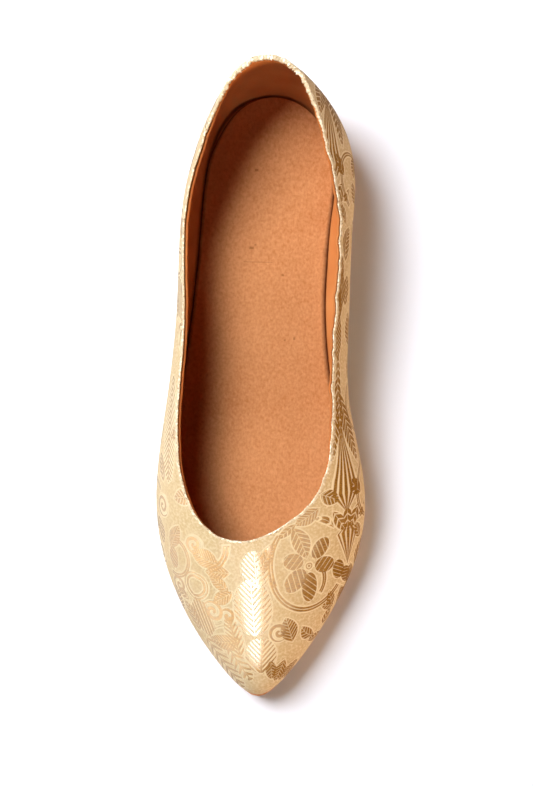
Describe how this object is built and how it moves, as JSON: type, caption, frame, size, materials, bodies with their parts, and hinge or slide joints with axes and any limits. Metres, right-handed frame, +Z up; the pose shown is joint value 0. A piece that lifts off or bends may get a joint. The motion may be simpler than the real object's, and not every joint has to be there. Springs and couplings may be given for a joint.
{
  "type": "brocade ballet flat",
  "caption": "Pointed-toe slip-on flat in woven brocade, with a low collar, a tan suede insole and a ribbed rubber sole with a low heel block.",
  "frame": {"origin": "on the floor under the middle of the shoe's bounding box", "axes": "+Y from heel to toe, +X towards the outer side of the right foot, +Z up"},
  "size_m": [0.085, 0.251, 0.0606],
  "materials": {
    "brocade": "satin ground with metallic woven motifs",
    "insole_suede": "brushed suede",
    "outsole_rubber": "matt moulded",
    "heel_rubber": "matt moulded"
  },
  "bodies": {
    "root": {"upper": "brocade", "insole": "insole_suede", "outsole": "outsole_rubber", "heel": "heel_rubber"}
  },
  "joints": []
}
